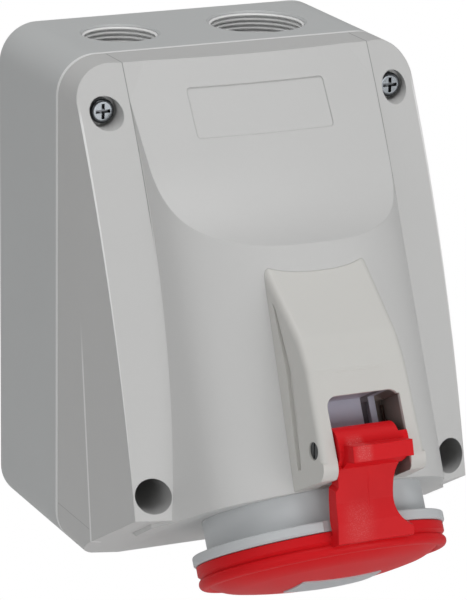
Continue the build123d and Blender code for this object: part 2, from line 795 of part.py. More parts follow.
def lid_spring():
    """Torsion spring round the pin, one leg on the bracket, one on the arm."""
    pitch = 2.2 * spring_wire_r
    start_x = spring_slot_from + running_gap + spring_wire_r
    path = Helix(pitch=pitch, height=pitch * spring_turns, radius=spring_coil_r)
    frame = Plane(origin=(start_x, -pin_depth, level(pin_height)), x_dir=(0, 0, 1), z_dir=(1, 0, 0))
    path = frame.location * path
    coil = sweep(Plane(origin=path @ 0, z_dir=path % 0) * Circle(spring_wire_r), path=path, is_frenet=True)
    end_x = start_x + pitch * spring_turns
    top = pin_height + spring_coil_r
    bend = Vector(end_x, -pin_depth + spring_leg_back, level(top))
    back = Plane(origin=(end_x, -pin_depth, level(top)), z_dir=(0, 1, 0))
    leg_back = extrude(back * Circle(spring_wire_r), amount=spring_leg_back)
    up = Plane(origin=bend, z_dir=(0, bracket_face_slope, 1))
    leg_up = extrude(up * Circle(spring_wire_r), amount=spring_leg_up) + Pos(*bend) * Sphere(spring_wire_r)
    down = Plane(origin=(start_x, -pin_depth, level(top)), z_dir=(0, 1, 0))
    turn = Vector(start_x, -pin_depth + spring_coil_r, level(top))
    leg_over = extrude(down * Circle(spring_wire_r), amount=spring_coil_r) + Pos(*turn) * Sphere(spring_wire_r)
    leg_down = extrude(Plane(origin=turn, z_dir=(0, 0, -1)) * Circle(spring_wire_r), amount=spring_leg_down)
    return coil + leg_back + leg_up + leg_over + leg_down


def dome_radius():
    """Radius of the sphere of the lid's dome."""
    sag = lid_centre_h - lid_dome_edge_h
    return (lid_dome_edge_r ** 2 + sag ** 2) / (2 * sag)


def dome_height(radius):
    """Distance out of the dome at a radius from its axis."""
    return lid_centre_h - dome_radius() + sqrt(dome_radius() ** 2 - radius ** 2)


def dome_arc(radius, lift=0.0):
    """Arc of the dome from a radius to its middle, raised by a lift."""
    points = [(radius * share, dome_height(radius * share) + lift) for share in (1.0, 0.5, 0.0)]
    return ThreePointArc(*points)


def lid_profile():
    """Half section of the lid's outside: radius against distance out."""
    top = rim_t + lid_gap
    cup_end = top + lid_cup_t
    groove = (lid_groove_r, lid_groove_h)
    neck = (lid_neck_r, lid_neck_h)
    cup = Polyline((0, top), (lid_r, top), (lid_r, cup_end - 0.6), (lid_r - 0.6, cup_end), groove)
    nose = ThreePointArc(groove, (lid_r, lid_nose_h), neck)
    edge = (lid_dome_edge_r, lid_dome_edge_h)
    lean = lid_dome_edge_r / dome_radius()
    shoulder = TangentArc(edge, neck, tangent=(sqrt(1 - lean ** 2), -lean))
    middle = Line((0, lid_centre_h), (0, top))
    return make_face(cup + nose + shoulder + dome_arc(lid_dome_edge_r) + middle)


def about_mouth(profile):
    """Half section turned about the mouth axis."""
    sheet = Plane(origin=mouth.origin, x_dir=(1, 0, 0), z_dir=mouth.x_dir.cross(mouth.z_dir) * -1)
    half = Plane(origin=mouth.origin, x_dir=mouth.x_dir, z_dir=mouth.x_dir.cross(mouth.z_dir))
    if (half.y_dir - mouth.z_dir).length > 0.001:
        half = sheet
    return revolve(half * profile, Axis(mouth.origin, mouth.z_dir), revolution_arc=360)


def mouth_point(forward, out):
    """Side-view point given forward of and out from the mouth's centre."""
    turn = radians(mouth_tilt)
    depth = mouth_depth + forward * cos(turn) + out * sin(turn)
    height = mouth_height + forward * sin(turn) - out * cos(turn)
    return side_point(depth, height)


def arm_outline():
    """Side view of the arm from the knuckle down to the lid."""
    front = [mouth_point(lid_r + ahead, out) for ahead, out in arm_front]
    inner = [mouth_point(lid_r + ahead, out) for ahead, out in arm_back]
    knuckle = [side_point(pin_depth - 2, pin_height), side_point(pin_depth + 2, pin_height)]
    return make_face(Polyline(*(knuckle[1:] + front + inner + knuckle[:1]), close=True))


def neck_prism():
    """Front view of the arm, narrow on the spring's side, carried through."""
    left = [(x, level(pin_height + up)) for x, up in neck_left]
    right = [(x, level(pin_height + up)) for x, up in neck_right]
    top_right = (arm_half_width, left[0][1])
    foot = (right[0][0], left[-1][1])
    edge = Polyline(right[-1], top_right, *left, foot, right[0])
    return extrude(Plane.XZ * make_face(edge + Spline(right)), amount=clear_of_all)


def spring_pocket():
    """Room in the knuckle for the spring and for its legs as the lid turns."""
    radius = spring_coil_r + spring_wire_r + spring_room
    start = spring_slot_from - 0.1
    end = arm_half_width + 1.5
    reach = 30.0
    over = Rectangle(reach, reach)
    over = Plane.YZ.offset(start) * Pos(*side_point(pin_depth + radius - reach / 2, pin_height + reach / 2)) * over
    behind = Rectangle(reach, radius + knuckle_r)
    low = side_point(pin_depth - reach / 2, pin_height - knuckle_r + (radius + knuckle_r) / 2)
    behind = Plane.YZ.offset(start) * Pos(*low) * behind
    coil = rod_x(pin_depth, pin_height, radius, start, end)
    return coil + extrude(over, amount=end - start) + extrude(behind, amount=end - start)


def lid():
    """Red lid with its arm, knuckle and lifting tab, moulded in one."""
    top = rim_t + lid_gap
    body = about_mouth(lid_profile())
    body = body - disc(lid_hollow_r, top - 1, lid_dome_edge_h - lid_wall)
    body = body - ring(lid_seal_out_r, lid_seal_in_r, top - 1, top + lid_seal_t)
    block = side_prism(arm_outline(), -2 * arm_half_width, 2 * arm_half_width) & neck_prism()
    knuckle = rod_x(pin_depth, pin_height, knuckle_r, -arm_half_width, arm_half_width)
    tab = make_face(Polyline(*[pin_point(*p) for p in tab_outline], close=True))
    arm = block + knuckle + side_prism(tab, -tab_half_width, tab_half_width)
    arm = arm - spring_pocket() - rod_x(pin_depth, pin_height, pin_r + shaft_gap, -40, 40)
    return body + (arm - disc(lid_seal_out_r, -4, top + lid_seal_t))


def lid_seal():
    """Rubber ring that closes on the rim of the collar."""
    top = rim_t + lid_gap
    return ring(lid_seal_out_r, lid_seal_in_r, top, top + lid_seal_t)


def lid_plate():
    """Bare foil plate that follows the dome of the lid."""
    edge = plate_width
    low = dome_arc(edge, plate_glue_t)
    high = dome_arc(edge, plate_glue_t + plate_t)
    skin = about_mouth(make_face(low + high + Line(low @ 0, high @ 0) + Line(low @ 1, high @ 1)))
    window = Pos(0, plate_forward) * RectangleRounded(plate_width, plate_height, 1.0)
    return skin & extrude(mouth.offset(lid_dome_edge_h - 2) * window, amount=20)


def write(name, shape):
    """Write one node."""
    shape.label = name
    export_step(shape, f"parts/{name}.step")


def build_all():
    """Build and write every node."""
    makers = {
        "back_box": back_box,
        "box_gasket": box_gasket,
        "front_cover": front_cover,
        "cover_screws": cover_screw_set,
        "screw_seals": screw_seal_set,
        "socket_shroud": socket_shroud,
        "insert_gasket": insert_gasket,
        "insert_retainer": insert_retainer,
        "contact_carrier": contact_carrier,
        "carrier_rear": carrier_rear,
        "carrier_screws": carrier_screw_set,
        "terminal_screws": terminal_screw_set,
        "hinge_bracket": hinge_bracket,
        "bracket_screws": bracket_screw_set,
        "hinge_pin": hinge_pin,
        "pin_clip": pin_clip,
        "lid_spring": lid_spring,
        "lid": lid,
        "lid_seal": lid_seal,
        "lid_plate": lid_plate,
    }
    for name, maker in makers.items():
        write(name, maker())
    for name, angle in contact_angles().items():
        write(name, contact_sleeve(name, angle))


build_all()
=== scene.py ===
"""Looks of a wall-mounted five-pole industrial socket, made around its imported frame."""

import json
import logging
import math
from collections.abc import Sequence
from dataclasses import dataclass, field
from enum import Enum
from typing import Any

import bmesh
import bpy
from mathutils import Matrix, Vector


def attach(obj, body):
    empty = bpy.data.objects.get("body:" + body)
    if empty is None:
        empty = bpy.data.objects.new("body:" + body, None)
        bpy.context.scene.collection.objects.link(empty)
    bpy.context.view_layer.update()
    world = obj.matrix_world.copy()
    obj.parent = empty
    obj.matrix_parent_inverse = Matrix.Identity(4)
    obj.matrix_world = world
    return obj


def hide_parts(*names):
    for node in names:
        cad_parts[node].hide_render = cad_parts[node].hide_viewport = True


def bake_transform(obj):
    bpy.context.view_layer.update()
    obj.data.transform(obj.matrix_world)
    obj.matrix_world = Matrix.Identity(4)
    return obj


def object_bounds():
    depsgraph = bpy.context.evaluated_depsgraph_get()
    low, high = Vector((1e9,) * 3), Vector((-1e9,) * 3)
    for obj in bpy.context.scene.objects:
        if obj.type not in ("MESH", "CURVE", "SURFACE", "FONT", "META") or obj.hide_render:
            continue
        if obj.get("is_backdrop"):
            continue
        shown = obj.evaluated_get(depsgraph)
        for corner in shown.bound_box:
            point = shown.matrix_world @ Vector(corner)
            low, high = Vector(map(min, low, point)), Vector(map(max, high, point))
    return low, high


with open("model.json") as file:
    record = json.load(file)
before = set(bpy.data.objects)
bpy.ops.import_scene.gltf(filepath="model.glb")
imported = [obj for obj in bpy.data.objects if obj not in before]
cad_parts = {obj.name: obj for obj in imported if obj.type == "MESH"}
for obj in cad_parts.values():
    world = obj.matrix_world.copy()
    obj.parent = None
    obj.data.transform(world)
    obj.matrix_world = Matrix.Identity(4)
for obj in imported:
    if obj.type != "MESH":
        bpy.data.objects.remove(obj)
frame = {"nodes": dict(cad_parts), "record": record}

MM = 0.001
# The part's origin lies on the wall at half of the box's height.
HALF_HEIGHT = 83.5
BOX_TOP = 2 * HALF_HEIGHT
MERGE_REACH = 1e-7

LEVELS = 255.0
SRGB_KNEE = 0.04045
SRGB_SLOPE = 12.92
SRGB_OFFSET = 0.055
SRGB_POWER = 2.4

Colour = tuple[float, float, float, float]
Levels = tuple[float, float, float]
WHITE: Colour = (1.0, 1.0, 1.0, 1.0)

log = logging.getLogger("wall_socket")


class Body(Enum):
    """Bodies of the part that a piece can ride on."""

    HOUSING = "housing"
    LID = "lid"


class Axis(Enum):
    """Directions that a pattern can run in, by the coordinate that holds each."""

    ACROSS = "X"
    DEPTH = "Y"
    HEIGHT = "Z"


def spot(across: float, depth: float, height: float) -> Vector:
    """Point in metres from millimetres across, out of the wall and up from the bottom edge.

    Args:
        across: distance to the right of the middle.
        depth: distance out from the wall.
        height: distance up from the bottom edge of the box.

    Returns:
        The point in the frame of the part.
    """
    return Vector((across, -depth, height - HALF_HEIGHT)) * MM


def linear(level: float) -> float:
    """Linear value of an sRGB level.

    Args:
        level: the level, from 0 to 255.

    Returns:
        The value, from 0 to 1.
    """
    share = level / LEVELS
    if share <= SRGB_KNEE:
        return share / SRGB_SLOPE
    return ((share + SRGB_OFFSET) / (1 + SRGB_OFFSET)) ** SRGB_POWER


def tint(red: float, green: float, blue: float) -> Colour:
    """Colour from sRGB levels."""
    return (linear(red), linear(green), linear(blue), 1.0)


def scaled(colour: Colour, share: float) -> Colour:
    """Colour made lighter or darker by a share."""
    red, green, blue, alpha = colour
    return (min(1.0, red * share), min(1.0, green * share), min(1.0, blue * share), alpha)


class Wire:
    """A shader socket that can be used in sums."""

    def __init__(self, shade: "Shade", socket: bpy.types.NodeSocket) -> None:
        """Wraps a socket of one shade's tree."""
        self.shade = shade
        self.socket = socket

    def _sum(self, kind: str, first: Any, second: Any = 0.0) -> "Wire":
        """One Math node on two values."""
        return self.shade.node("ShaderNodeMath", {"operation": kind}, {0: first, 1: second})

    def __add__(self, other: Any) -> "Wire":
        """Sum."""
        return self._sum("ADD", self, other)

    __radd__ = __add__

    def __sub__(self, other: Any) -> "Wire":
        """Difference."""
        return self._sum("SUBTRACT", self, other)

    def __rsub__(self, other: Any) -> "Wire":
        """Difference, the other way."""
        return self._sum("SUBTRACT", other, self)

    def __mul__(self, other: Any) -> "Wire":
        """Product."""
        return self._sum("MULTIPLY", self, other)

    __rmul__ = __mul__

    def size(self) -> "Wire":
        """Value without its sign."""
        return self._sum("ABSOLUTE", self)

    def root(self) -> "Wire":
        """Square root."""
        return self._sum("SQRT", self)

    def above(self, edge: float, soft: float) -> "Wire":
        """Mask that goes from 0 to 1 round an edge value.

        Args:
            edge: value at which the mask is a half.
            soft: width of the change.

        Returns:
            The mask.
        """
        settings = {"clamp": True, "interpolation_type": "SMOOTHSTEP"}
        values = {"Value": self, "From Min": edge - soft / 2, "From Max": edge + soft / 2}
        return self.shade.node("ShaderNodeMapRange", settings, values)


@dataclass(frozen=True)
class Rise:
    """Value at which a mask goes from 0 to 1, and how softly."""

    at: float
    soft: float

    def of(self, value: Wire) -> Wire:
        """Mask of a value."""
        return value.above(self.at, self.soft)


@dataclass(frozen=True)
class Band:
    """Stretch of values over which a mask is 1, and how softly it ends."""

    low: float
    high: float
    soft: float

    def of(self, value: Wire) -> Wire:
        """Mask of a value."""
        return value.above(self.low, self.soft) * (1.0 - value.above(self.high, self.soft))


class Shade:
    """A material or world under construction."""

    def __init__(self, owner: bpy.types.Material | bpy.types.World, output: str) -> None:
        """Starts with only the output node.

        Args:
            owner: the material or world.
            output: type of its output node.
        """
        owner.use_nodes = True
        self.owner = owner
        self.tree = owner.node_tree
        self.tree.nodes.clear()
        self.out = self.tree.nodes.new(output)

    @classmethod
    def of_material(cls, name: str) -> "Shade":
        """Starts a material."""
        return cls(bpy.data.materials.new(name), "ShaderNodeOutputMaterial")

    @classmethod
    def of_world(cls, name: str) -> "Shade":
        """Starts a world."""
        return cls(bpy.data.worlds.new(name), "ShaderNodeOutputWorld")

    def node(
        self, kind: str, settings: dict | None = None, values: dict | None = None, output: int | str = 0
    ) -> Wire:
        """Adds one node.

        Args:
            kind: the node's type.
            settings: its own settings, set first.
            values: values or wires of its sockets, by name or place.
            output: the output to hand back.

        Returns:
            The chosen output.
        """
        made = self.tree.nodes.new(kind)
        for name, value in (settings or {}).items():
            setattr(made, name, value)
        for name, value in (values or {}).items():
            if isinstance(value, Wire):
                self.tree.links.new(value.socket, made.inputs[name])
            else:
                made.inputs[name].default_value = value
        return Wire(self, made.outputs[output])

    def place(self) -> Wire:
        """Object coordinates, in metres."""
        return self.node("ShaderNodeTexCoord", output="Object")

    def along(self, axis: Axis) -> Wire:
        """Place along one direction, in millimetres.

        Args:
            axis: the direction.

        Returns:
            Distance from the middle, out from the wall or up from the bottom edge.
        """
        part = self.node("ShaderNodeSeparateXYZ", values={0: self.place()}, output=axis.value)
        if axis is Axis.DEPTH:
            return part * (-1.0 / MM)
        if axis is Axis.HEIGHT:
            return part * (1.0 / MM) + HALF_HEIGHT
        return part * (1.0 / MM)

    def facing_out(self) -> Wire:
        """How far a surface faces away from the wall, from -1 to 1."""
        normal = self.node("ShaderNodeNewGeometry", output="Normal")
        return self.node("ShaderNodeSeparateXYZ", values={0: normal}, output="Y") * -1.0

    def noise(self, size: float, detail: float = 2.0, rough: float = 0.5) -> Wire:
        """Noise whose features are about so many millimetres across.

        Args:
            size: size of a feature in millimetres.
            detail: octaves of finer noise.
            rough: strength of the finer noise.

        Returns:
            The noise, round a half.
        """
        values = {"Vector": self.place(), "Scale": 1.0 / (size * MM), "Detail": detail, "Roughness": rough}
        return self.node("ShaderNodeTexNoise", values=values)

    def mix(self, share: Any, first: Any, second: Any) -> Wire:
        """Blend of two colours, 0 for the first and 1 for the second."""
        values = {"Factor": share, 6: first, 7: second}
        return self.node("ShaderNodeMix", {"data_type": "RGBA"}, values, output=2)

    def bump(self, height: Wire, depth_mm: float, normal: Wire | None = None) -> Wire:
        """Normal raised by a height.

        Args:
            height: the height, from 0 to 1.
            depth_mm: how far 1 stands up, in millimetres.
            normal: the normal to start from.

        Returns:
            The new normal.
        """
        values = {"Strength": 1.0, "Distance": depth_mm * MM, "Height": height}
        if normal is not None:
            values["Normal"] = normal
        return self.node("ShaderNodeBump", values=values)

    def close(self, surface: Wire) -> Any:
        """Joins a shader to the output and hands back the material or world."""
        self.tree.links.new(surface.socket, self.out.inputs["Surface"])
        return self.owner

    def finish(self, **sockets: Any) -> bpy.types.Material:
        """Closes the material with a Principled shader.

        Args:
            sockets: values or wires by socket name, with underscores for spaces.

        Returns:
            The material.
        """
        values = {name.replace("_", " "): value for name, value in sockets.items()}
        return self.close(self.node("ShaderNodeBsdfPrincipled", values=values, output="BSDF"))


@dataclass(frozen=True)
class Plastic:
    """Moulded plastic with a fine spark-eroded grain."""

    name: str
    colour: Levels
    rough: float = 0.45
    polish: float = 0.08
    polish_mm: float = 14.0
    shine: float = 0.42
    grain_mm: float = 0.55
    grain_depth: float = 0.012
    grain_fine: float = 0.6
    edge_mm: float = 0.35
    edge_samples: int = 4
    cloud: float = 0.02
    cloud_mm: float = 26.0
    fleck_mm: float = 1.6
    fleck_share: float = 0.3

    def base(self, shade: Shade) -> Wire:
        """Colour with faint clouds and flecks.

        Args:
            shade: the material under construction.

        Returns:
            The colour.
        """
        plain = tint(*self.colour)
        clouds = shade.noise(self.cloud_mm, detail=3.0)
        flecks = shade.noise(self.fleck_mm)
        both = clouds * (1 - self.fleck_share) + flecks * self.fleck_share
        return shade.mix(both, scaled(plain, 1 - self.cloud), scaled(plain, 1 + self.cloud))

    def surface(self, shade: Shade) -> Wire:
        """Softened edges and the grain of the mould.

        Args:
            shade: the material under construction.

        Returns:
            The normal.
        """
        settings = {"samples": self.edge_samples}
        soft_edge = shade.node("ShaderNodeBevel", settings, {"Radius": self.edge_mm * MM})
        return shade.bump(shade.noise(self.grain_mm, rough=self.grain_fine), self.grain_depth, soft_edge)

    def sheen(self, shade: Shade) -> Wire:
        """Roughness with slow changes, where hands and the mould have polished it."""
        return shade.noise(self.polish_mm) * self.polish + (self.rough - self.polish / 2)

    def build(self) -> bpy.types.Material:
        """Makes the material.

        Returns:
            The material.
        """
        shade = Shade.of_material(self.name)
        return shade.finish(
            Base_Color=self.base(shade), Roughness=self.sheen(shade), Normal=self.surface(shade),
            Specular_IOR_Level=self.shine,
        )


@dataclass(frozen=True)
class Seam:
    """Seam round the housing by depth: painted shade in the joint and a painted highlight on the box's rim.
    """

    # Painted shade in the joint.
    joint: Band = Band(51.34, 51.66, 0.1)
    joint_share: float = 0.4
    joint_shadow: Colour = (0.04, 0.04, 0.04, 1.0)
    # Painted highlight on the box's rim; its levels also colour the cover's painted highlights.
    rim: Band = Band(50.2, 51.4, 0.3)
    rim_share: float = 0.85
    bright: Levels = (250, 250, 250)

    def over(self, shade: Shade, colour: Wire) -> Wire:
        """Lays the seam over a colour.

        Args:
            shade: the material under construction.
            colour: the colour below.

        Returns:
            The colour with the seam.
        """
        depth = shade.along(Axis.DEPTH)
        shaded = shade.mix(self.joint.of(depth) * self.joint_share, colour, self.joint_shadow)
        return shade.mix(self.rim.of(depth) * self.rim_share, shaded, tint(*self.bright))


@dataclass(frozen=True)
class BoxPlastic(Plastic):
    """Plastic of the back box, with the seam at its front."""

    seam: Seam = Seam()

    def base(self, shade: Shade) -> Wire:
        """Grey with the seam."""
        return self.seam.over(shade, Plastic.base(self, shade))


@dataclass(frozen=True)
class CoverPlastic(Plastic):
    """Plastic of the cover, with painted highlights, painted shade and fine dark lines."""

    seam: Seam = Seam()
    side: Rise = Rise(56.0, 0.5)
    crease_lean: float = 0.13
    crease: Band = Band(82.05, 83.15, 0.2)
    crease_height: Band = Band(0.0, 76.0, 22.0)
    crease_share: float = 0.9
    mark_height: Band = Band(16.18, 16.42, 0.1)
    mark_depth: Band = Band(52.4, 79.5, 1.0)
    mark_share: float = 0.35
    mark_shadow: Colour = (0.1, 0.1, 0.1, 1.0)
    strip_line: Band = Band(43.15, 43.45, 0.12)
    strip_height: Rise = Rise(118.0, 16.0)
    strip_depth: Rise = Rise(52.8, 0.4)
    strip_share: float = 0.55
    strip_shadow: Colour = (0.08, 0.08, 0.08, 1.0)
    edge: Rise = Rise(58.6, 0.3)
    edge_facing: Rise = Rise(0.5, 0.1)
    edge_height: Band = Band(48.0, 152.0, 8.0)
    edge_share: float = 0.7
    tube_across: float = 52.6
    tube_height: float = 38.5
    tube_wall: Rise = Rise(5.56, 0.06)
    tube_share: float = 0.36
    tube_shadow: Colour = (0.045, 0.045, 0.05, 1.0)

    def crease_highlight(self, shade: Shade, colour: Wire) -> Wire:
        """Paints a highlight along the crease that leans down each side.

        Args:
            shade: the material under construction.
            colour: the colour below.

        Returns:
            The colour with the painted highlight.
        """
        height = shade.along(Axis.HEIGHT)
        line = self.crease.of(shade.along(Axis.DEPTH) + height * self.crease_lean)
        share = line * self.side.of(shade.along(Axis.ACROSS).size()) * self.crease_height.of(height)
        # Painted highlight along the crease.
        return shade.mix(share * self.crease_share, colour, tint(*self.seam.bright))

    def side_mark(self, shade: Shade, colour: Wire) -> Wire:
        """Draws a fine dark line low on each side.

        Args:
            shade: the material under construction.
            colour: the colour below.

        Returns:
            The colour with the mark.
        """
        line = self.mark_height.of(shade.along(Axis.HEIGHT)) * self.mark_depth.of(shade.along(Axis.DEPTH))
        share = line * self.side.of(shade.along(Axis.ACROSS).size())
        return shade.mix(share * self.mark_share, colour, self.mark_shadow)

    def strip_lines(self, shade: Shade, colour: Wire) -> Wire:
        """Paints a shadow line between each side strip and the centre panel, where the two lie level.

        Args:
            shade: the material under construction.
            colour: the colour below.

        Returns:
            The colour with the lines.
        """
        line = self.strip_line.of(shade.along(Axis.ACROSS).size())
        front = self.strip_height.of(shade.along(Axis.HEIGHT)) * self.strip_depth.of(shade.along(Axis.DEPTH))
        return shade.mix(line * front * self.strip_share, colour, self.strip_shadow)

    def edge_highlights(self, shade: Shade, colour: Wire) -> Wire:
        """Paints a highlight along the outer edge of each strip.

        Args:
            shade: the material under construction.
            colour: the colour below.

        Returns:
            The colour with the painted highlights.
        """
        edge = self.edge.of(shade.along(Axis.ACROSS).size()) * self.edge_facing.of(shade.facing_out())
        share = edge * self.edge_height.of(shade.along(Axis.HEIGHT))
        # Painted highlight along each strip's outer edge.
        return shade.mix(share * self.edge_share, colour, tint(*self.seam.bright))

    def dark_tubes(self, shade: Shade, colour: Wire) -> Wire:
        """Shades the inside of the two lower screw tubes.

        Args:
            shade: the material under construction.
            colour: the colour below.

        Returns:
            The colour with the tubes.
        """
        across = shade.along(Axis.ACROSS).size() - self.tube_across
        rise = shade.along(Axis.HEIGHT) - self.tube_height
        inside = 1.0 - self.tube_wall.of((across * across + rise * rise).root())
        return shade.mix(inside * self.tube_share, colour, self.tube_shadow)

    def base(self, shade: Shade) -> Wire:
        """Grey with the seam, the painted highlights, the painted shade and the fine lines.

        Args:
            shade: the material under construction.

        Returns:
            The colour.
        """
        colour = self.seam.over(shade, Plastic.base(self, shade))
        for mark in (self.crease_highlight, self.side_mark, self.strip_lines, self.edge_highlights, self.dark_tubes):
            colour = mark(shade, colour)
        return colour


@dataclass(frozen=True)
class BracketPlastic(Plastic):
    """Plastic of the bracket, with its cool window panel, painted shade in the window and a fine raised
    line.
    """

    panel_colour: Levels = (200, 203, 218)
    groove_shade: Levels = (92, 86, 92)
    wall_shade: Levels = (128, 118, 112)
    face_slope: float = 0.53
    face: Rise = Rise(195.2, 1.2)
    window_across: Band = Band(-12.45, 12.7, 0.1)
    window_height: Band = Band(50.0, 80.4, 0.4)
    groove: Band = Band(4.2, 6.9, 0.3)
    spring_side: Rise = Rise(9.1, 0.2)
    shaded_top: Rise = Rise(74.5, 8.0)
    shaded_share: float = 0.6
    shadow: Colour = (0.03, 0.028, 0.03, 1.0)
    line_height: Band = Band(84.96, 85.24, 0.12)
    line_across: Band = Band(-7.9, 7.9, 0.2)
    line_depth: Rise = Rise(149.0, 0.2)
    line_mm: float = 0.05

    def base(self, shade: Shade) -> Wire:
        """Colour of the body and the window's panel, with painted shade in its groove, on its right wall and
        under its top.

        Args:
            shade: the material under construction.

        Returns:
            The colour.
        """
        across = shade.along(Axis.ACROSS)
        height = shade.along(Axis.HEIGHT)
        behind = 1.0 - self.face.of(shade.along(Axis.DEPTH) + height * self.face_slope)
        inside = behind * self.window_across.of(across) * self.window_height.of(height)
        spring_side = self.spring_side.of(across)
        colour = shade.mix(inside * (1.0 - spring_side), Plastic.base(self, shade), tint(*self.panel_colour))
        # Painted shade in the groove, on the right wall beside the spring and under the window's top.
        colour = shade.mix(inside * self.groove.of(across), colour, tint(*self.groove_shade))
        colour = shade.mix(inside * spring_side, colour, tint(*self.wall_shade))
        return shade.mix(inside * self.shaded_top.of(height) * self.shaded_share, colour, self.shadow)

    def surface(self, shade: Shade) -> Wire:
        """Grain with the fine line under the bare name place.

        Args:
            shade: the material under construction.

        Returns:
            The normal.
        """
        line = self.line_height.of(shade.along(Axis.HEIGHT)) * self.line_across.of(shade.along(Axis.ACROSS))
        line = line * self.line_depth.of(shade.along(Axis.DEPTH))
        return shade.bump(line, self.line_mm, Plastic.surface(self, shade))


@dataclass(frozen=True)
class GrainHighlightPatch:
    """Part of the lid's arm with rough grain and a painted highlight."""

    across: Band
    height: Band
    share: float

    def mask(self, shade: Shade) -> Wire:
        """Soft-edged mask of the patch."""
        wide = self.across.of(shade.along(Axis.ACROSS))
        return wide * self.height.of(shade.along(Axis.HEIGHT)) * self.share


@dataclass(frozen=True)
class LidPlastic(Plastic):
    """Red plastic with patches of rough grain and painted highlights on the tab and the arm."""

    patches: Sequence[GrainHighlightPatch] = (
        GrainHighlightPatch(Band(-9.0, -4.0, 2.4), Band(62.4, 67.2, 2.4), 0.35),
        GrainHighlightPatch(Band(-9.6, -1.5, 6.0), Band(34.5, 46.0, 6.0), 0.22),
    )
    arm_depth: Rise = Rise(155.0, 2.0)
    # Painted highlight: the glint colour, laid over each patch at glint_least and more strongly on the
    # specks.
    glint: Levels = (238, 168, 166)
    glint_least: float = 0.30
    speck: Rise = Rise(0.60, 0.14)
    speck_mm: float = 0.36
    speck_share: float = 0.6
    rough_mm: float = 0.4
    rough_depth: float = 0.16
    parting_across: Band = Band(-1.87, -1.63, 0.14)
    parting_height: Band = Band(44.0, 55.5, 1.0)
    parting_mm: float = 0.05

    def grain_and_highlight(self, shade: Shade) -> Wire:
        """Where the grain is rough and the highlight is painted, only on the arm.

        Args:
            shade: the material under construction.

        Returns:
            The mask.
        """
        total = sum(patch.mask(shade) for patch in self.patches)
        return total * self.arm_depth.of(shade.along(Axis.DEPTH))

    def base(self, shade: Shade) -> Wire:
        """Red with painted pale glints and a painted highlight on the rough patches.

        Args:
            shade: the material under construction.

        Returns:
            The colour.
        """
        # Painted glints and an even painted highlight over the grain patches.
        glints = self.speck.of(shade.noise(self.speck_mm, detail=1.0)) * self.speck_share + self.glint_least
        return shade.mix(glints * self.grain_and_highlight(shade), Plastic.base(self, shade), tint(*self.glint))

    def surface(self, shade: Shade) -> Wire:
        """Softened edges, grain and the faint parting line of the arm.

        Args:
            shade: the material under construction.

        Returns:
            The normal.
        """
        rough = shade.noise(self.rough_mm, rough=self.grain_fine) * self.grain_and_highlight(shade)
        line = self.parting_across.of(shade.along(Axis.ACROSS))
        line = line * self.parting_height.of(shade.along(Axis.HEIGHT))
        line = line * self.arm_depth.of(shade.along(Axis.DEPTH))
        normal = shade.bump(rough, self.rough_depth, Plastic.surface(self, shade))
        return shade.bump(line, self.parting_mm, normal)


@dataclass(frozen=True)
class Metal:
    """Plated or drawn metal."""

    name: str
    colour: Levels
    rough: float = 0.32
    rough_change: float = 0.2
    stain: float = 0.15
    stain_mm: float = 1.2
    rust: Levels | None = None
    rust_mm: float = 0.9
    rust_from: Rise = Rise(0.5, 0.1)
    rust_dull: float = 0.7
    recess: Band | None = None
    recess_share: float = 0.65
    recess_shadow: Colour = (0.02, 0.02, 0.022, 1.0)
    grain_mm: float = 0.25
    grain_depth: float = 0.01

    def build(self) -> bpy.types.Material:
        """Makes the material, with rust and painted shade in a recess where it has them.

        Returns:
            The material.
        """
        shade = Shade.of_material(self.name)
        plain = tint(*self.colour)
        blotch = shade.noise(self.stain_mm, detail=3.0)
        colour = shade.mix(blotch, scaled(plain, 1 - self.stain), plain)
        metallic: Any = 1.0
        if self.rust is not None:
            spots = self.rust_from.of(shade.noise(self.rust_mm, detail=3.0))
            colour = shade.mix(spots, colour, tint(*self.rust))
            metallic = 1.0 - spots * self.rust_dull
        if self.recess is not None:
            deep = self.recess.of(shade.along(Axis.DEPTH))
            colour = shade.mix(deep * self.recess_share, colour, self.recess_shadow)
        normal = shade.bump(shade.noise(self.grain_mm), self.grain_depth)
        rough = blotch * self.rough_change + (self.rough - self.rough_change / 2)
        return shade.finish(Base_Color=colour, Roughness=rough, Metallic=metallic, Normal=normal)


@dataclass(frozen=True)
class Foil:
    """Brushed silver foil with no print."""

    name: str
    colour: Levels
    streak_size: float = 220.0
    streak_narrow: float = 14.0
    darkest: float = 0.86
    lightest: float = 1.05
    rough: float = 0.38
    rough_change: float = 0.15
    metallic: float = 0.75
    streak_depth: float = 0.01

    def build(self) -> bpy.types.Material:
        """Makes the material, with its streaks across the plate.

        Returns:
            The material.
        """
        shade = Shade.of_material(self.name)
        plain = tint(*self.colour)
        values = {"Vector": shade.place(), "Scale": (1.0, self.streak_narrow, self.streak_narrow)}
        stretch = shade.node("ShaderNodeMapping", values=values, output="Vector")
        values = {"Vector": stretch, "Scale": self.streak_size, "Detail": 3.0}
        streaks = shade.node("ShaderNodeTexNoise", values=values)
        return shade.finish(
            Base_Color=shade.mix(streaks, scaled(plain, self.darkest), scaled(plain, self.lightest)),
            Roughness=streaks * self.rough_change + self.rough, Metallic=self.metallic,
            Normal=shade.bump(streaks, self.streak_depth),
        )


@dataclass(frozen=True)
class Rubber:
    """Soft seal rubber with a little dust."""

    name: str
    colour: Levels
    dust: float = 1.7
    dust_mm: float = 3.0
    dust_share: float = 0.6
    rough: float = 0.6
    rough_change: float = 0.1
    rough_mm: float = 5.0
    grain_mm: float = 0.5
    grain_depth: float = 0.03

    def build(self) -> bpy.types.Material:
        """Makes the material.

        Returns:
            The material.
        """
        shade = Shade.of_material(self.name)
        plain = tint(*self.colour)
        dusty = shade.noise(self.dust_mm, detail=4.0) * self.dust_share
        return shade.finish(
            Base_Color=shade.mix(dusty, plain, scaled(plain, self.dust)),
            Roughness=shade.noise(self.rough_mm) * self.rough_change + self.rough,
            Normal=shade.bump(shade.noise(self.grain_mm), self.grain_depth),
        )


Finish = Plastic | Metal | Foil | Rubber

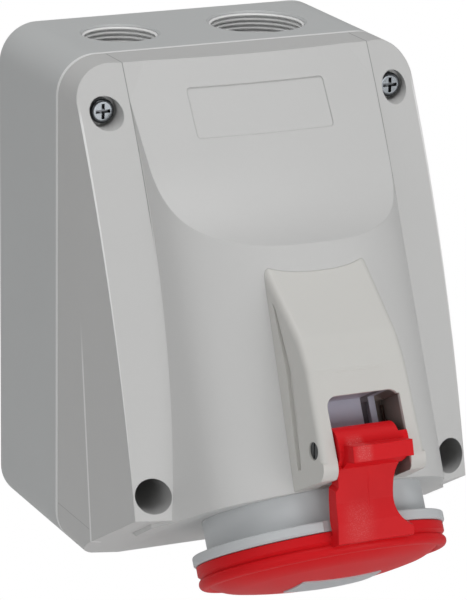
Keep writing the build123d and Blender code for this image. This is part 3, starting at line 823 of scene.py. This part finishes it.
FINISHES: dict[str, Finish] = {
    "box_grey": BoxPlastic("box_grey_plastic", (204, 206, 206), rough=0.42),
    "cover_grey": CoverPlastic("cover_grey_plastic", (207, 207, 206), rough=0.42, edge_mm=0.5),
    "bracket_grey": BracketPlastic("bracket_grey_plastic", (209, 208, 204), rough=0.42),
    "shroud_grey": Plastic("shroud_grey_plastic", (203, 206, 208), rough=0.40),
    # Near white: painted light, the box's grey plastic brightened to stand in for the light falling on the
    # threads.
    "thread_grey_lit": Plastic("thread_grey_plastic", (253, 254, 253), rough=0.34),
    "carrier_grey": Plastic("carrier_grey_plastic", (84, 88, 92), rough=0.5),
    "lid_red": LidPlastic("lid_red_plastic", (218, 22, 30), rough=0.46, cloud=0.03, shine=0.16),
    "seal_black": Rubber("seal_black_rubber", (38, 38, 40)),
    "washer_grey": Rubber("washer_grey_rubber", (84, 86, 88)),
    "zinc": Metal("zinc_plate", (176, 180, 182), rough=0.3),
    # Darker than the plain zinc, as painted shade on the heads in their recesses, with more painted shade at
    # the recess's depth.
    "shaded_screw_zinc": Metal(
        "shaded_screw_zinc", (132, 136, 140), rough=0.24, stain=0.5, recess=Band(66.4, 68.62, 0.12)
    ),
    "pin_zinc": Metal("pin_zinc", (104, 106, 108), rough=0.34, stain=0.55),
    "spring_steel": Metal("spring_wire", (110, 96, 88), rough=0.42, rust=(70, 40, 28)),
    "contact_brass": Metal("contact_brass", (206, 174, 102), rough=0.35),
    "plate_silver": Foil("silver_foil", (214, 215, 218)),
}

# Nodes whose look differs from that of their slot in the record.
OWN_FINISH = {
    "hinge_bracket": "bracket_grey",
    "cover_screws": "shaded_screw_zinc",
    "screw_seals": "washer_grey",
    "hinge_pin": "pin_zinc",
}


class Paintbox:
    """Materials by name, each made once."""

    def __init__(self) -> None:
        """Starts with nothing made."""
        self.made: dict[str, bpy.types.Material] = {}

    def get(self, finish: str) -> bpy.types.Material:
        """Material of a finish.

        Args:
            finish: its name in the list of finishes.

        Returns:
            The material.
        """
        if finish not in self.made:
            self.made[finish] = FINISHES[finish].build()
        return self.made[finish]


def placed(name: str, mesh: bmesh.types.BMesh, paint: bpy.types.Material) -> bpy.types.Object:
    """Turns a finished mesh into a painted object at the origin.

    Args:
        name: the object's name.
        mesh: its mesh, which is freed.
        paint: its material.

    Returns:
        The object.
    """
    data = bpy.data.meshes.new(name)
    mesh.to_mesh(data)
    mesh.free()
    data.materials.append(paint)
    piece = bpy.data.objects.new(name, data)
    bpy.context.scene.collection.objects.link(piece)
    return piece


@dataclass
class FrameDress:
    """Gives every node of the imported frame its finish."""

    paints: Paintbox

    def build(self) -> None:
        """Dresses the nodes."""
        for row in frame["record"]["subparts"]:
            name = row["node"]
            finish = OWN_FINISH.get(name, row["material_slot"])
            data = frame["nodes"][name].data
            data.materials.clear()
            data.materials.append(self.paints.get(finish))
            log.info("dressed %s with %s", name, finish)


@dataclass
class EntryThread:
    """Internal thread of one cable entry in the top of the box."""

    name: str
    mount: str
    pitch: float = 1.5
    ridges: int = 6
    ridge_height: float = 0.7
    root_gap: float = 0.02
    root_from: float = 0.08
    crest_from: float = 0.42
    gap: float = 0.03
    top_room: float = 0.6
    steps: int = 96
    across: float = field(init=False)
    depth: float = field(init=False)
    radius: float = field(init=False)

    def __post_init__(self) -> None:
        """Takes the entry's place and size from its mount in the record."""
        row = next(row for row in frame["record"]["mounts"] if row["name"] == self.mount)
        self.across = row["pos_m"][0] / MM
        self.depth = -row["pos_m"][1] / MM
        self.radius = row["dims"]["r_mm"]

    def profile(self, mesh: bmesh.types.BMesh) -> list:
        """Saw-toothed half section, closed by a wall just inside the entry.

        Args:
            mesh: the mesh to draw in.

        Returns:
            The vertices and edges to spin.
        """
        outer = self.radius - self.gap
        root = outer - self.root_gap
        crest = outer - self.ridge_height
        top = BOX_TOP - self.top_room
        tooth = [(root, self.root_from), (crest, self.crest_from)]
        tooth += [(reach, 1 - turn) for reach, turn in reversed(tooth)]
        points = [(outer, top)]
        for index in range(self.ridges):
            points += [(reach, top - (index + turn) * self.pitch) for reach, turn in tooth]
        points.append((outer, top - self.ridges * self.pitch))
        verts = [mesh.verts.new(spot(self.across + reach, self.depth, height)) for reach, height in points]
        edges = [mesh.edges.new(pair) for pair in zip(verts, verts[1:] + verts[:1])]
        return verts + edges

    def build(self, paints: Paintbox) -> bpy.types.Object:
        """Spins the thread and hangs it on the housing.

        Args:
            paints: the materials.

        Returns:
            The thread.
        """
        mesh = bmesh.new()
        bmesh.ops.spin(
            mesh, geom=self.profile(mesh), cent=spot(self.across, self.depth, BOX_TOP), axis=(0, 0, 1),
            angle=math.tau, steps=self.steps, use_merge=True,
        )
        bmesh.ops.remove_doubles(mesh, verts=mesh.verts, dist=MERGE_REACH)
        bmesh.ops.recalc_face_normals(mesh, faces=mesh.faces)
        piece = placed(self.name, mesh, paints.get("thread_grey_lit"))
        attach(piece, Body.HOUSING.value)
        log.info("cut %s, %d faces", self.name, len(piece.data.polygons))
        return piece


@dataclass
class WoundSpring:
    """Lid spring, whose coil twists between its leg on the lid and its leg on the bracket."""

    node: str = "lid_spring"
    name: str = "lid_spring_wound"
    lid_leg_to: float = 10.35
    bracket_leg_from: float = 11.15

    def build(self, paints: Paintbox) -> bpy.types.Object:
        """Merges a copy of the spring and hides the frame's own spring.

        Args:
            paints: the materials.

        Returns:
            The spring.
        """
        mesh = bmesh.new()
        mesh.from_mesh(frame["nodes"][self.node].data)
        bmesh.ops.remove_doubles(mesh, verts=mesh.verts, dist=MERGE_REACH)
        piece = placed(self.name, mesh, paints.get("spring_steel"))
        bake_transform(piece)
        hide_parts(self.node)
        log.info("wound %s", self.name)
        return piece


@dataclass(frozen=True)
class SoftBox:
    """One square lamp, with its place and size in metres and its power in watts."""

    name: str
    place: tuple[float, float, float]
    size: float
    power: float

    def hang(self, aim: Vector) -> None:
        """Hangs the lamp and points it.

        Args:
            aim: the point that it lights.
        """
        data = bpy.data.lights.new(self.name, "AREA")
        data.size = self.size
        data.energy = self.power
        lamp = bpy.data.objects.new(self.name, data)
        lamp.location = self.place
        lamp.rotation_mode = "QUATERNION"
        lamp.rotation_quaternion = (aim - Vector(self.place)).to_track_quat("-Z", "Y")
        bpy.context.scene.collection.objects.link(lamp)


@dataclass
class Studio:
    """Camera, floor and lights."""

    focus_mm: tuple[float, float, float] = (6.6, 45.0, 76.86)
    distance_mm: float = 1255.0
    azimuth: float = -24.72
    elevation: float = 16.71
    roll: float = 0.88
    lens: float = 225.05
    clip_start: float = 0.05
    floor_size: float = 6.0
    floor_drop: float = 0.30
    floor_grey: float = 0.8
    ambient: float = 0.237
    lights: Sequence[SoftBox] = (
        SoftBox("front", (0.3, -1.6, -0.2), 1.0, 11.1),
        SoftBox("top", (0.0, -0.3, 2.0), 1.6, 18.9),
        SoftBox("left", (-1.9, -1.0, 0.5), 1.6, 7.6),
        SoftBox("right", (1.9, -1.1, 0.6), 1.3, 1.7),
    )

    def camera(self) -> None:
        """Sets the camera where the photograph was taken."""
        azimuth, elevation, roll = (math.radians(x) for x in (self.azimuth, self.elevation, self.roll))
        flat = math.cos(elevation)
        back = Vector((math.sin(azimuth) * flat, -math.cos(azimuth) * flat, math.sin(elevation)))
        right = (-back).cross(Vector((0, 0, 1))).normalized()
        up = right.cross(-back)
        rolled_right = right * math.cos(roll) + up * math.sin(roll)
        rolled_up = up * math.cos(roll) - right * math.sin(roll)
        data = bpy.data.cameras.new("camera")
        data.lens = self.lens
        data.clip_start = self.clip_start
        eye = bpy.data.objects.new("camera", data)
        place = spot(*self.focus_mm) + back * self.distance_mm * MM
        turn = Matrix((rolled_right, rolled_up, back)).transposed().to_4x4()
        eye.matrix_world = Matrix.Translation(place) @ turn
        bpy.context.scene.collection.objects.link(eye)
        bpy.context.scene.camera = eye

    def floor(self) -> None:
        """Lays a pale floor under the part."""
        mesh = bmesh.new()
        bmesh.ops.create_grid(mesh, x_segments=1, y_segments=1, size=self.floor_size)
        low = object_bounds()[0].z - self.floor_drop
        bmesh.ops.translate(mesh, verts=mesh.verts, vec=(0, 0, low))
        placed("floor", mesh, self.pale())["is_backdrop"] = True

    def pale(self) -> bpy.types.Material:
        """Floor that shows white to the camera and gives soft light back.

        Returns:
            The material.
        """
        shade = Shade.of_material("pale_floor")
        grey = (self.floor_grey, self.floor_grey, self.floor_grey, 1.0)
        seen = shade.node("ShaderNodeLightPath", output="Is Camera Ray")
        diffuse = shade.node("ShaderNodeBsdfDiffuse", values={"Color": grey})
        glow = shade.node("ShaderNodeEmission", values={"Color": WHITE, "Strength": 1.0})
        return shade.close(shade.node("ShaderNodeMixShader", values={0: seen, 1: diffuse, 2: glow}))

    def world(self) -> None:
        """White to the camera, soft grey light to the part."""
        shade = Shade.of_world("studio")
        seen = shade.node("ShaderNodeLightPath", output="Is Camera Ray")
        soft = shade.node("ShaderNodeBackground", values={"Color": WHITE, "Strength": self.ambient})
        white = shade.node("ShaderNodeBackground", values={"Color": WHITE, "Strength": 1.0})
        both = shade.node("ShaderNodeMixShader", values={0: seen, 1: soft, 2: white})
        bpy.context.scene.world = shade.close(both)

    def build(self) -> None:
        """Sets up the whole studio."""
        self.camera()
        self.world()
        for light in self.lights:
            light.hang(spot(*self.focus_mm))
        self.floor()
        bpy.context.scene.view_settings.view_transform = "Standard"
        log.info("lit with %d soft boxes", len(self.lights))


def main() -> None:
    """Builds every sub-assembly in order."""
    logging.basicConfig(level=logging.INFO, format="%(name)s: %(message)s")
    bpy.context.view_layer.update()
    paints = Paintbox()
    FrameDress(paints).build()
    for size in ("m25", "m32"):
        EntryThread(f"entry_thread_{size}", f"entry_{size}").build(paints)
    WoundSpring().build(paints)
    Studio().build()


if __name__ == "__main__":
    main()
